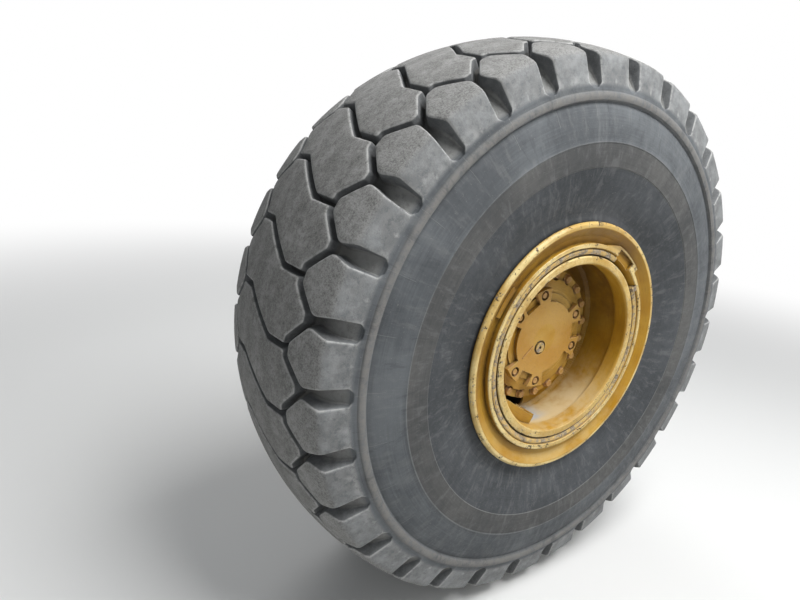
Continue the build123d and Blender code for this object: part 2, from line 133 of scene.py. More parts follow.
def offset(points, distance, closed):
    """The path moved to its right by this distance, corners mitred."""
    count = len(points)
    out = []
    for i, point in enumerate(points):
        normals = []
        for j in (i, i + 1):
            if closed or 0 < j < count:
                along = points[j % count] - points[j - 1]
                normals.append(Vector((along.y, -along.x)).normalized())
        first, last = normals[0], normals[-1]
        out.append(point + (first + last) * (distance / (1 + first.dot(last))))
    return out


def divide(points, spacing, closed):
    """The path with points added so that none of its runs is longer than the spacing."""
    out = []
    ends = points[1:] + (points[:1] if closed else [])
    for a, b in zip(points, ends):
        count = max(1, math.ceil((b - a).length / spacing))
        out += [a.lerp(b, k / count) for k in range(count)]
    return out if closed else out + [points[-1]]


def inside_path(point, path):
    """Whether a point is inside a closed path."""
    x, y = point
    found = False
    for (ax, ay), (bx, by) in zip(path, path[1:] + path[:1]):
        if (ay > y) != (by > y) and x < ax + (y - ay) * (bx - ax) / (by - ay):
            found = not found
    return found


def skin(turns, rows, full_turn=True, closed_profile=True):
    """Faces between verts that come as so many turns of a profile with so many rows, and on its open ends."""
    faces = []
    for i in range(turns if full_turn else turns - 1):
        ahead = (i + 1) % turns * rows
        for j in range(rows if closed_profile else rows - 1):
            above = (j + 1) % rows
            faces.append((i * rows + j, i * rows + above, ahead + above, ahead + j))
    if not full_turn and closed_profile:
        faces += [tuple(range(rows)), tuple(range((turns - 1) * rows, turns * rows))[::-1]]
    return faces


# Materials


class Shader:
    """Node tree of a material or a world. Each call adds nodes and returns an output."""

    def __init__(self, owner):
        owner.use_nodes = True
        self.owner, self.tree = owner, owner.node_tree
        self.tree.nodes.clear()

    def node(self, kind, inputs=None, output=0, **settings):
        made = self.tree.nodes.new("ShaderNode" + kind)
        for key, value in settings.items():
            setattr(made, key, value)
        for key, value in (inputs or {}).items():
            if isinstance(value, bpy.types.NodeSocket):
                self.tree.links.new(value, made.inputs[key])
            else:
                made.inputs[key].default_value = value
        return made.outputs[output]

    def close(self, kind, shader):
        """Links the shader to an output node, and returns the material or world."""
        out = self.tree.nodes.new("ShaderNode" + kind)
        self.tree.links.new(shader, out.inputs["Surface"])
        return self.owner

    def math(self, operation, a, b=0.0, clamp=False):
        return self.node("Math", {0: a, 1: b}, operation=operation, use_clamp=clamp)

    def times(self, first, *others):
        for other in others:
            first = self.math("MULTIPLY", first, other)
        return first

    def plus(self, *pairs):
        """Sum of values, each given with its weight."""
        total = None
        for value, weight in pairs:
            part = value if weight == 1 else self.math("MULTIPLY", value, weight)
            total = part if total is None else self.math("ADD", total, part)
        return total

    def ramp(self, value, low, high, to_low=0.0, to_high=1.0):
        """Smooth step from one value to another."""
        return self.node("MapRange", {
            "Value": value, "From Min": low, "From Max": high, "To Min": to_low, "To Max": to_high,
        }, interpolation_type="SMOOTHSTEP")

    def band(self, value, low, high, soft):
        """1 between low and high, 0 outside, with soft edges."""
        return self.times(self.ramp(value, low - soft, low + soft), self.below(value, high, soft))

    def below(self, value, limit, soft):
        """1 below the limit and 0 above it, with a soft edge."""
        return self.ramp(value, limit - soft, limit + soft, 1.0, 0.0)

    @functools.cached_property
    def point(self):
        """Point of the part frame that is shaded."""
        return self.node("TexCoord", output="Object")

    def axes(self, vector=None):
        """The x, y and z of a vector, or else of the point."""
        return self.node("SeparateXYZ", {0: self.point if vector is None else vector}).node.outputs

    def noise(self, scale, detail=5.0, roughness=0.55, distortion=0.0, vector=None):
        return self.node("TexNoise", {
            "Vector": self.point if vector is None else vector, "Scale": scale, "Detail": detail,
            "Roughness": roughness, "Distortion": distortion,
        }, output="Fac")

    def mix(self, factor, a, b):
        """Colour a where the factor is 0 and colour b where it is 1."""
        a, b = (c if isinstance(c, bpy.types.NodeSocket) else (*c, 1.0) for c in (a, b))
        return self.node("Mix", {0: factor, 6: a, 7: b}, output=2, data_type="RGBA")

    def polar(self):
        """Radius, place across, and a point whose noise runs in rings round the axle."""
        x, y, z = self.axes()
        radius = self.math("SQRT", self.plus((self.times(x, x), 1), (self.times(z, z), 1)))
        across = self.math("SUBTRACT", CENTRE_Y, y)
        ring = self.node("CombineXYZ", {
            0: self.math("DIVIDE", x, radius), 1: self.math("DIVIDE", z, radius),
            2: self.times(self.plus((radius, 1), (across, 1)), 60.0),
        })
        return radius, across, ring

    def rounded(self, radius):
        """Normal that rounds the edges, and a mask of the edges themselves."""
        normal = self.node("Bevel", {"Radius": radius}, samples=6)
        plain = self.node("NewGeometry", output="Normal")
        facing = self.node("VectorMath", {0: normal, 1: plain}, output="Value", operation="DOT_PRODUCT")
        return normal, self.ramp(facing, 0.995, 0.90)

    def crevice(self, distance):
        """1 deep in gaps and corners, 0 in the open."""
        openness = self.node("AmbientOcclusion", {"Distance": distance}, output="AO", samples=6)
        return self.ramp(openness, 0.80, 0.30)

    def bump(self, height, distance, strength, normal=None):
        inputs = {"Height": height, "Distance": distance, "Strength": strength}
        if normal is not None:
            inputs["Normal"] = normal
        return self.node("Bump", inputs)

    def surface(self, colour, roughness, normal, metallic=0.0, specular=0.5):
        return self.close("OutputMaterial", self.node("BsdfPrincipled", {
            "Base Color": colour, "Roughness": roughness, "Metallic": metallic,
            "Specular IOR Level": specular, "Normal": normal,
        }))


BROWN_RADIUS, DARK_RADIUS = 0.618, 0.5475  # the sidewall is brown inside one and dark inside the other
MOULDED_RING, FINE_STEP = (0.6140, 0.6175), (0.5480, 0.5492)  # radii on the sidewall
RIDGE = (0.7200, 0.7430)  # radii of the ridge between sidewall and tread
TREAD_FOOT = (0.752, 0.768)  # radii between which sidewall turns into tread
BLOCK_SIDE = (0.2770, 0.2920)  # places across between which block tops turn into sides
HEIGHT_NAME = "tread_height"  # attribute of the tyre's mesh


def vent_lines(s, radius, across):
    """Thin lines that the mould's vents leave on the outer side, one below each slot."""
    x, _, z = s.axes()
    turn = s.math("SUBTRACT", s.math("ARCTAN2", z, x), SLOT_START)
    share = s.math("FRACT", s.plus((s.math("DIVIDE", turn, 2 * math.pi / PITCHES), 1), (0.52, 1)))
    off = s.math("ABSOLUTE", s.math("SUBTRACT", share, 0.5))
    line = s.times(s.ramp(off, 0.0035, 0.0075, 0.6, 0.0), s.band(radius, 0.672, 0.751, 0.003))
    return s.times(line, s.math("GREATER_THAN", across, 0.0))


def sidewall(s, radius, ring, vent, cloudy, patchy, streaks):
    """Grey with dust, brown in a middle band, dark near the rim, with pale rings, scuffs and smears."""
    grey, dusty_grey = (0.068, 0.074, 0.080), (0.114, 0.123, 0.131)
    brown, dusty_brown = (0.057, 0.058, 0.058), (0.093, 0.092, 0.089)
    dark, dusty_dark = (0.040, 0.044, 0.048), (0.066, 0.071, 0.077)
    ring_dust, ridge_dust_and_highlight, vent_dust = (0.20, 0.205, 0.205), (0.185, 0.178, 0.166), (0.19, 0.19, 0.185)
    scuffed, smeared, wiped = (0.165, 0.168, 0.166), (0.175, 0.178, 0.178), (0.040, 0.043, 0.047)

    shade = s.ramp(s.plus((cloudy, 0.8), (streaks, 0.25)), 0.40, 0.66)
    colour = s.mix(shade, grey, dusty_grey)
    ragged = s.plus((radius, 1), (patchy, 0.006))
    colour = s.mix(s.below(ragged, BROWN_RADIUS, 0.0035), colour, s.mix(shade, brown, dusty_brown))
    colour = s.mix(s.below(radius, DARK_RADIUS, 0.001), colour, s.mix(shade, dark, dusty_dark))
    rings = s.plus((s.band(radius, *FINE_STEP, 0.0006), 1), (s.band(radius, *MOULDED_RING, 0.001), 0.6))
    colour = s.mix(s.times(rings, s.ramp(patchy, 0.3, 0.6, 0.2, 0.7)), colour, ring_dust)
    # Paler ridge: dust, and a painted highlight along it
    ridge = s.times(s.band(radius, *RIDGE, 0.006), s.ramp(patchy, 0.30, 0.62, 0.25, 0.9))
    colour = s.mix(ridge, colour, ridge_dust_and_highlight)
    colour = s.mix(s.times(s.ramp(s.noise(11.0, 7.0, 0.8), 0.60, 0.72), 0.35), colour, scuffed)
    # Smears run from the rim outward, so their noise is stretched along the radius
    spokes = s.node("VectorMath", {0: ring, 1: (9.0, 9.0, 0.09)}, operation="MULTIPLY")
    smears = s.noise(2.6, 6.0, 0.7, 0.4, spokes)
    colour = s.mix(s.times(s.ramp(smears, 0.50, 0.66), 0.30), colour, smeared)
    colour = s.mix(s.times(s.ramp(smears, 0.46, 0.34), 0.35), colour, wiped)
    return s.mix(s.times(vent, 0.6), colour, vent_dust)


def tread(s, side, height, cloudy, patchy, pits):
    """Grey block tops with dark pits, paler towards the shoulders by wear and painted light, smoother sides,
    dusty floors of the grooves, and pale edges that are worn and carry a painted highlight.
    """
    top, gritty_top, worn_and_lit_top = (0.070, 0.069, 0.066), (0.160, 0.157, 0.148), (0.245, 0.245, 0.237)
    floor, dusty_floor, slot_dust = (0.060, 0.060, 0.058), (0.135, 0.133, 0.124), (0.215, 0.217, 0.210)
    flank, dusty_flank = (0.085, 0.089, 0.091), (0.130, 0.134, 0.136)
    face, smudged_face, worn_edge_and_highlight = (0.100, 0.105, 0.108), (0.180, 0.189, 0.193), (0.38, 0.38, 0.37)

    tops = s.mix(s.ramp(pits, 0.40, 0.60), top, gritty_top)
    # Tops paler towards the shoulders: painted light, as the middle blocks stand in shade; the patchy part is
    # wear
    worn_and_lit = s.plus((s.ramp(side, 0.15, 0.25), 0.5), (s.ramp(patchy, 0.42, 0.68), 0.45))
    tops = s.mix(s.times(worn_and_lit, s.ramp(pits, 0.38, 0.56)), tops, worn_and_lit_top)
    grooves = s.mix(s.ramp(cloudy, 0.4, 0.65), floor, dusty_floor)
    slots = s.times(s.ramp(side, 0.215, 0.265), s.ramp(patchy, 0.25, 0.6, 0.4, 1.0))
    grooves = s.mix(slots, grooves, slot_dust)
    flanks = s.mix(s.ramp(patchy, 0.35, 0.65), flank, dusty_flank)
    colour = s.mix(s.ramp(height, 0.10, 0.30), grooves, flanks)
    colour = s.mix(s.ramp(height, 0.86, 0.97), colour, tops)
    side_face = s.times(s.ramp(s.plus((side, 1), (patchy, 0.012)), *BLOCK_SIDE), s.ramp(height, 0.6, 0.9))
    smudge = s.ramp(s.plus((s.noise(16.0, 6.0, 0.7), 0.7), (pits, 0.3)), 0.42, 0.62)
    colour = s.mix(side_face, colour, s.mix(smudge, face, smudged_face))
    # Pale edges of the blocks: wear, and a painted highlight along them
    edge = s.times(s.band(height, 0.90, 0.985, 0.03), s.ramp(patchy, 0.32, 0.55, 0.15, 0.8))
    return s.mix(edge, colour, worn_edge_and_highlight)


def tyre_rubber():
    s = Shader(bpy.data.materials.new("tyre_rubber"))
    radius, across, ring = s.polar()
    side = s.math("ABSOLUTE", across)
    height = s.node("Attribute", output="Fac", attribute_name=HEIGHT_NAME)
    on_tread = s.ramp(radius, *TREAD_FOOT)
    cloudy, patchy, grain = s.noise(4.0), s.noise(60.0, 6.0, 0.7), s.noise(420.0, 3.0)
    pits = s.noise(210.0, 5.0, 0.8)
    streaks = s.noise(4.0, 5.0, 0.6, vector=ring)
    vent = vent_lines(s, radius, across)
    wall = sidewall(s, radius, ring, vent, cloudy, patchy, streaks)
    colour = s.mix(on_tread, wall, tread(s, side, height, cloudy, patchy, pits))
    grit = (0.27, 0.265, 0.245)
    colour = s.mix(s.times(s.ramp(s.noise(260.0, 2.0), 0.66, 0.74), 0.35), colour, grit)
    rough = s.ramp(patchy, 0.3, 0.7, 0.62, 0.88)
    tops_only = s.times(on_tread, s.ramp(side, 0.285, 0.270, 0.25, 1.0))
    coarse = s.times(s.plus((pits, 1), (patchy, 0.7)), tops_only)
    normal = s.bump(s.plus((coarse, 1), (streaks, 0.12), (vent, 0.35)), 0.0030, 0.7)
    normal = s.bump(grain, 0.0006, 0.5, normal)
    return s.surface(colour, rough, normal, specular=0.35)


def worn_paint(name, base, faded, dust, dirt, dust_amount, wear_amount, lips=()):
    """Worn yellow paint: its shader, radius and place across, then colour, roughness, normal and metallic."""
    rubbed, gap_dirt_and_shade = (0.74, 0.60, 0.29), (0.060, 0.038, 0.018)
    metal, rust = (0.36, 0.33, 0.29), (0.065, 0.043, 0.028)

    s = Shader(bpy.data.materials.new(name))
    radius, across, ring = s.polar()
    level = s.axes()["Z"]
    up = s.axes(s.node("NewGeometry", output="Normal"))["Z"]
    cloudy, patchy, chips = s.noise(6.0, 4.0), s.noise(42.0, 6.0, 0.65), s.noise(150.0, 5.0, 0.7)
    scratch = s.noise(8.0, 6.0, 0.75, vector=ring)
    smooth_normal, edge = s.rounded(0.0022)
    # Wear on the edges and lips: pale where the paint is rubbed, metal where it has chipped off
    wear = s.times(edge, s.plus((wear_amount, 1), (patchy, 0.30)))
    for low_r, high_r, low_w, high_w, amount in lips:
        lip = s.times(s.band(radius, low_r, high_r, 0.002), s.band(across, low_w, high_w, 0.002))
        wear = s.plus((wear, 1), (lip, amount))
    fine = s.plus((chips, 0.12), (scratch, 0.12))
    pale = s.ramp(s.plus((wear, 1), (fine, 1)), 0.190, 0.290)
    coarse = s.plus((chips, 0.5), (patchy, 0.5))
    bare = s.ramp(s.plus((coarse, 1), (wear, 0.62)), 0.655, 0.680)
    # Dust lies on what faces up, and most on what is low
    settled = s.times(s.ramp(up, 0.0, 0.8), s.ramp(level, 0.02, -0.20))
    film = s.ramp(s.plus((patchy, 0.5), (cloudy, 0.5)), 0.36, 0.66)
    film = s.math("MULTIPLY", film, s.plus((dust_amount, 1), (settled, 0.65)), clamp=True)
    colour = s.mix(s.ramp(cloudy, 0.36, 0.66), base, faded)
    colour = s.mix(s.times(s.ramp(scratch, 0.50, 0.68), 0.45), colour, dirt)
    colour = s.mix(film, colour, dust)
    colour = s.mix(s.times(pale, s.ramp(s.noise(7.0, 5.0, 0.6), 0.35, 0.65, 0.30, 0.95)), colour, rubbed)
    colour = s.mix(bare, colour, s.mix(s.ramp(s.noise(70.0, 3.0), 0.36, 0.48), metal, rust))
    # Dirt and painted shade in gaps and corners, from ambient occlusion
    colour = s.mix(s.times(s.crevice(0.022), s.ramp(patchy, 0.30, 0.60, 0.55, 0.90)), colour, gap_dirt_and_shade)
    rough = s.math("ADD", s.ramp(patchy, 0.3, 0.7, 0.34, 0.55), s.times(film, 0.35), clamp=True)
    flaked = s.math("SUBTRACT", s.times(s.plus((patchy, 1), (scratch, 1)), 0.25), bare)
    normal = s.bump(flaked, 0.0008, 0.8, smooth_normal)
    normal = s.bump(s.noise(260.0, 3.0), 0.0003, 0.35, normal)
    return s, radius, across, colour, rough, normal, s.times(bare, 0.55)


def rim_paint():
    """Worn paint with dust low down in the rim, grime and painted shade high up, and painted shade behind the
    disc.
    """
    pale_dust, grey_dust = (0.56, 0.44, 0.25), (0.370, 0.375, 0.370)
    brown_grime_and_shade, near_black_shade = (0.120, 0.060, 0.015), (0.016, 0.012, 0.009)

    s, radius, across, colour, rough, normal, metallic = worn_paint(
        "rim_paint", base=(0.360, 0.180, 0.010), faded=(0.450, 0.255, 0.022), dust=(0.50, 0.385, 0.205),
        dirt=(0.120, 0.064, 0.016), dust_amount=0.05, wear_amount=0.10, lips=LIPS)
    x, _, z = s.axes()
    # Pale dust on the bowl's lower wall
    low_wall = s.times(s.ramp(z, -0.14, -0.24), s.ramp(radius, 0.262, 0.270))
    settled = s.times(s.band(across, 0.150, 0.262, 0.010), low_wall)
    settled = s.times(settled, s.ramp(s.noise(12.0, 6.0, 0.65), 0.30, 0.60, 0.25, 0.85))
    colour = s.mix(settled, colour, pale_dust)
    # Grey dust that has run together beside the hand hole
    along = s.plus((x, 1), (s.noise(14.0, 4.0), 0.06))
    patch = s.times(s.band(across, 0.135, 0.212, 0.014), s.band(along, -0.060, 0.085, 0.04))
    patch = s.times(patch, s.times(s.ramp(z, -0.20, -0.24), s.ramp(radius, 0.25, 0.27)))
    patch = s.times(patch, s.ramp(s.noise(30.0, 5.0, 0.65), 0.30, 0.48, 0.35, 1.0))
    colour = s.mix(patch, colour, grey_dust)
    # Brown grime with painted shade on the bowl's upper wall and on the disc, and painted shade in the top
    # left of the flange's dish, under its lip
    high_wall = s.times(s.ramp(z, -0.10, 0.12), s.ramp(radius, 0.225, 0.250))
    bowl = s.times(s.band(across, 0.115, 0.258, 0.008), high_wall)
    upper_left = s.ramp(s.math("SUBTRACT", z, s.times(x, 0.6)), -0.05, 0.25)
    dish = s.times(s.band(radius, 0.333, 0.378, 0.004), upper_left)
    shade_and_grime = s.math("MAXIMUM", bowl, s.times(dish, 0.75))
    shade_and_grime = s.times(shade_and_grime, s.ramp(s.noise(9.0, 5.0, 0.6), 0.25, 0.60, 0.35, 0.80))
    colour = s.mix(shade_and_grime, colour, brown_grime_and_shade)
    # Painted shade: near-black colour inside the rim, behind the disc, so that the hand holes look dark
    shade_behind_disc = s.times(s.ramp(across, 0.120, 0.128, 1.0, 0.0), s.ramp(radius, 0.2845, 0.2865, 1.0, 0.0))
    shade_behind_disc = s.times(shade_behind_disc, s.ramp(across, -0.25, -0.10), 0.95)
    colour = s.mix(shade_behind_disc, colour, near_black_shade)
    rough = s.math("ADD", rough, s.times(patch, 0.4), clamp=True)
    return s.surface(colour, rough, normal, metallic, 0.25)


def casting_paint(name, **values):
    """Worn paint of the castings, with rust on the bolt heads and on the level mark."""
    rust = (0.50, 0.27, 0.14)

    s, radius, across, colour, rough, normal, metallic = worn_paint(name, **values)
    # Rings in which the drive bolts' heads, the ear bolts' heads and the level mark stand up
    heads = s.times(s.band(radius, 0.189, 0.222, 0.001), s.ramp(across, 0.1668, 0.1680))
    ears = s.times(s.band(radius, 0.136, 0.158, 0.001), s.band(across, 0.1890, 0.1995, 0.0004))
    mark = s.times(s.ramp(across, 0.1998, 0.2003), s.ramp(radius, 0.045, 0.050))
    rusty = s.math("MAXIMUM", s.math("MAXIMUM", heads, ears), mark)
    colour = s.mix(s.times(rusty, s.ramp(s.noise(120.0, 4.0, 0.7), 0.35, 0.6, 0.15, 0.6)), colour, rust)
    return s.surface(colour, rough, normal, metallic, 0.25)


def worn_steel():
    """Steel that was painted once: patches of metal, rust and yellow."""
    steel, dark_steel = (0.46, 0.39, 0.29), (0.20, 0.155, 0.105)
    rust, dark_rust = (0.150, 0.085, 0.045), (0.065, 0.045, 0.032)
    yellow, faded_yellow, gap_dirt_and_shade = (0.50, 0.30, 0.07), (0.58, 0.42, 0.16), (0.045, 0.030, 0.020)

    s = Shader(bpy.data.materials.new("bare_steel"))
    _, _, ring = s.polar()
    patchy, chips = s.noise(38.0, 6.0, 0.75), s.noise(110.0, 5.0, 0.7)
    scratch = s.noise(7.0, 6.0, 0.8, vector=ring)
    smooth_normal, edge = s.rounded(0.0016)
    mottled = s.ramp(chips, 0.35, 0.65)
    rusty = s.mix(s.ramp(chips, 0.4, 0.6), rust, dark_rust)
    colour = s.mix(s.ramp(scratch, 0.48, 0.60), s.mix(mottled, steel, dark_steel), rusty)
    painted = s.math("SUBTRACT", s.plus((patchy, 1), (scratch, 0.5)), s.times(edge, 0.12))
    painted = s.ramp(painted, 0.72, 0.77)
    colour = s.mix(painted, colour, s.mix(mottled, yellow, faded_yellow))
    # Dirt and painted shade in gaps and corners, from ambient occlusion
    colour = s.mix(s.times(s.crevice(0.010), 0.8), colour, gap_dirt_and_shade)
    rough = s.ramp(chips, 0.3, 0.7, 0.36, 0.60)
    normal = s.bump(s.plus((chips, 0.7), (painted, 1)), 0.0006, 0.7, smooth_normal)
    metallic = s.math("SUBTRACT", 0.35, s.times(painted, 0.35))
    return s.surface(colour, rough, normal, metallic)


# Rubbed lips of the rim: low and high radius, low and high place across, how far the paint is worn
LIPS = (
    (0.3785, 0.3950, 0.2985, 0.3120, 0.165),  # outer flange's rolled lip
    (0.3785, 0.3950, -0.3120, -0.2985, 0.100),  # inner flange's rolled lip
    (0.3155, 0.3500, 0.3040, 0.3090, 0.160),  # end of the bead seat band and the key's housing
    (0.2640, 0.2950, 0.3010, 0.3060, 0.130),  # end of the gutter section
    (0.2895, 0.2950, 0.2900, 0.3060, 0.080),  # outside of the gutter's lip
)
MATERIALS = {
    "tyre_rubber": tyre_rubber(),
    "rim_paint": rim_paint(),
    "hub_paint": casting_paint(
        "hub_paint", base=(0.440, 0.225, 0.018), faded=(0.520, 0.310, 0.050), dust=(0.52, 0.345, 0.165),
        dirt=(0.13, 0.070, 0.022), dust_amount=0.24, wear_amount=0.07),
    "axle_paint": casting_paint(
        "axle_paint", base=(0.360, 0.200, 0.045), faded=(0.400, 0.250, 0.080), dust=(0.30, 0.235, 0.155),
        dirt=(0.12, 0.08, 0.045), dust_amount=0.65, wear_amount=0.04),
    "bare_steel": worn_steel(),
}

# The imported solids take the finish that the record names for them
for row in frame["record"]["subparts"]:
    node = frame["nodes"][row["node"]]
    node.data.materials.clear()
    node.data.materials.append(MATERIALS[row["material_slot"]])

# Tyre. Its pattern is drawn flat, s along the tyre and t across it, and then bent round the crown

TREAD_REFERENCE = 0.866  # radius at which the pattern's lengths are measured
HALF_PITCH = TREAD_REFERENCE * math.pi / PITCHES
CROWN_RADIUS, CROWN_ARC = 0.8855, 0.875  # radius of the tread's middle, and of its curve across
CROWN_POINTS = 24
SHOULDER = Vector((0.281, 0.8395))  # across and radius of the shoulder's corner
SHOULDER_REACH, SHOULDER_ROUND = 0.026, 0.020  # from the crown's end to the corner, and its rounding
SLOT_END = Vector((0.3015, 0.752))  # across and radius where the slots run out on the side
RUNOUT = 0.008  # from there to the end of the pattern
GROOVE_DEPTH = 0.036
GROOVE_HALF = 0.008  # half the width of the cross grooves
GROOVE_BEND = 0.073  # t at which the cross grooves bend
LUG_TIP, LUG_TIP_HALF = 0.166, 0.017  # inner end of the lugs: its t, and half its width
LUG_FLANK_END = 0.2285  # t at which a lug has its full width
# Half the width of a slot at that t, at the shoulder and at the slot's end
SLOT_HALF_INNER, SLOT_HALF_OUTER, SLOT_HALF_END = 0.0125, 0.0270, 0.013
BLOCK_TIP, BLOCK_TIP_HALF = 0.204, 0.011  # point of the centre blocks, between two lugs
BLOCK_ROOT, BLOCK_CORNER = 0.148, 0.0250  # corners by the lugs' tips: t, and distance from the pitch's edge
EDGE_SPACING, FILL_SPACING, FILL_CLEARANCE = 0.013, 0.0145, 0.0062  # of the mesh's points
CENTRE_FLOOR_END = 0.225  # t up to which the floor is level
# Floor of the slots beyond it: t, across, radius
SLOT_FLOOR = (
    (0.258, 0.242, 0.8085), (0.290, 0.2635, 0.786), (0.325, 0.2785, 0.7685), (0.352, 0.2880, 0.7590),
)
RUNOUT_DEPTHS = (0.0065, 0.004)  # at the slots' end and at the pattern's end
# Rings round a block: how far inside its edge, and the share of the groove's depth
RINGS = (
    (0.0070, 0.0), (0.0034, 0.022), (0.0012, 0.075), (0.0, 0.15), (-0.0023, 0.66), (-0.0042, 0.92),
    (-0.0063, 1.0),
)
RAISED = 0.2  # what is less deep than this share belongs to a block's top
WEAR_RADIUS, WEAR_FADE = 0.755, 0.02  # where the tops' wear begins, and over what height it grows
MARKED_RADIUS = 0.757  # outside it the tread's height is stored
BORDER_STEPS = 12  # across the ends of a pitch


def crown_profile():
    """Top of the tread from the centre plane to its end: points (across, radius), and their lengths."""
    crown = [Vector((w, CROWN_RADIUS - CROWN_ARC + math.sqrt(CROWN_ARC ** 2 - w * w)))
             for w in np.linspace(0.0, SHOULDER.x - SHOULDER_REACH, CROWN_POINTS)]
    side = (SLOT_END - SHOULDER).normalized()
    path = crown + [SHOULDER, SLOT_END, SLOT_END + side * RUNOUT]
    path = fillet(path, [0] * CROWN_POINTS + [SHOULDER_ROUND, 0, 0], False, 6)
    path = divide(path, 0.012, False)
    lengths = np.concatenate([[0.0], np.cumsum([(b - a).length for a, b in zip(path, path[1:])])])
    return np.array(path), lengths


top_path, top_length = crown_profile()
T_END = top_length[-1]
T_SLOT_END = T_END - RUNOUT
T_SHOULDER = float(np.interp(SHOULDER.x, top_path[:, 0], top_length))


def along_path(t, lengths, path):
    """Point (across, radius) of a path at a place along the tread's top."""
    return np.array([np.interp(t, lengths, path[:, 0]), np.interp(t, lengths, path[:, 1])])


def floor_profile():
    """Floor of the grooves: places along the tread's top, and points (across, radius) for them."""
    places = list(np.linspace(0.0, CENTRE_FLOOR_END, 16))
    points = []
    for t in places:
        w, r = along_path(t, top_length, top_path)
        inward = Vector((-w, -(r - CROWN_RADIUS + CROWN_ARC))).normalized()
        points.append((w + inward.x * GROOVE_DEPTH, r + inward.y * GROOVE_DEPTH))
    for t, w, r in SLOT_FLOOR:
        places.append(t)
        points.append((w, r))
    for t, depth in zip((T_SLOT_END, T_END), RUNOUT_DEPTHS):
        w, r = along_path(t, top_length, top_path)
        places.append(t)
        points.append((w - depth, r - depth * 0.3))
    return np.array(places), np.array(points)


floor_length, floor_path = floor_profile()


def tread_point(s, t, depth):
    """Radius, angle and place across of the pattern's point, at a share of the groove's depth."""
    top = along_path(abs(t), top_length, top_path)
    floor = along_path(abs(t), floor_length, floor_path)
    w, r = top + (floor - top) * depth
    return r, SLOT_START + s / TREAD_REFERENCE, math.copysign(w, t) if t else 0.0


def reflect(path):
    """The same path on the inner side, where the pattern is turned by half a turn and half a pitch."""
    return [Vector((-HALF_PITCH - p.x, -p.y)) for p in path]


def lug_outline():
    """Edge of two half lugs and the slot between them, from left to right, and its corners' rounding."""
    left = [
        (-HALF_PITCH, LUG_TIP, 0), (-HALF_PITCH + LUG_TIP_HALF, LUG_TIP, 0.016),
        (-SLOT_HALF_INNER, LUG_FLANK_END, 0.022), (-SLOT_HALF_OUTER, T_SHOULDER, 0.030),
        (-SLOT_HALF_OUTER, T_SLOT_END - 0.016, 0.010), (-SLOT_HALF_END, T_SLOT_END - 0.001, 0.010),
    ]
    whole = left + [(-s, t, rounding) for s, t, rounding in reversed(left)]
    return [Vector((s, t)) for s, t, _ in whole], [rounding for _, _, rounding in whole]


def block_outline():
    """Edge of a centre block, clockwise, and its corners' rounding."""
    h = HALF_PITCH
    groove = ((h, BLOCK_ROOT), (h, GROOVE_BEND), (0.0, -GROOVE_BEND), (0.0, -BLOCK_ROOT))
    half = [Vector(p) for p in (
        (-h + GROOVE_HALF, BLOCK_ROOT), (-h + BLOCK_CORNER, BLOCK_ROOT), (-BLOCK_TIP_HALF, BLOCK_TIP),
        (BLOCK_TIP_HALF, BLOCK_TIP), (h - BLOCK_CORNER, BLOCK_ROOT),
    )]
    half += offset([Vector(p) for p in groove], GROOVE_HALF, False)[:3]
    return half + reflect(half), [0.006, 0.014, 0.010, 0.010, 0.014, 0.006, 0.020, 0.020] * 2


def pitch_border(ring_places):
    """Edge of one pitch, along the middle of lugs and cross groove: its points and their depths."""
    h, last = HALF_PITCH, BORDER_STEPS
    lug = [(t, 0.0) for t in np.linspace(T_END, LUG_TIP + 0.012, 17)] + sorted(ring_places, reverse=True)
    groove = [(t, 1.0) for t in np.linspace(BLOCK_ROOT + 0.004, GROOVE_BEND, 6)]
    upper = [Vector((-h, t)) for t, _ in lug + groove]
    upper_depths = [depth for _, depth in lug + groove]
    bend = Vector((-h, GROOVE_BEND))
    middle = [bend.lerp(Vector((-2 * h, -GROOVE_BEND)), k / last) for k in range(1, last)]
    left = upper + middle + [Vector((-2 * h, -p.y)) for p in reversed(upper)]
    left_depths = upper_depths + [1.0] * (last - 1) + upper_depths[::-1]
    right = [Vector((p.x + 2 * h, p.y)) for p in left]
    outer_end = [Vector((-h + 2 * h * k / last, T_END)) for k in range(1, last)]
    inner_end = [Vector((-2 * h * k / last, -T_END)) for k in range(1, last)]
    end_depths = [0.0] * (last - 1)
    depths = left_depths[::-1] + end_depths + left_depths + end_depths
    return left[::-1] + outer_end + right + inner_end, depths


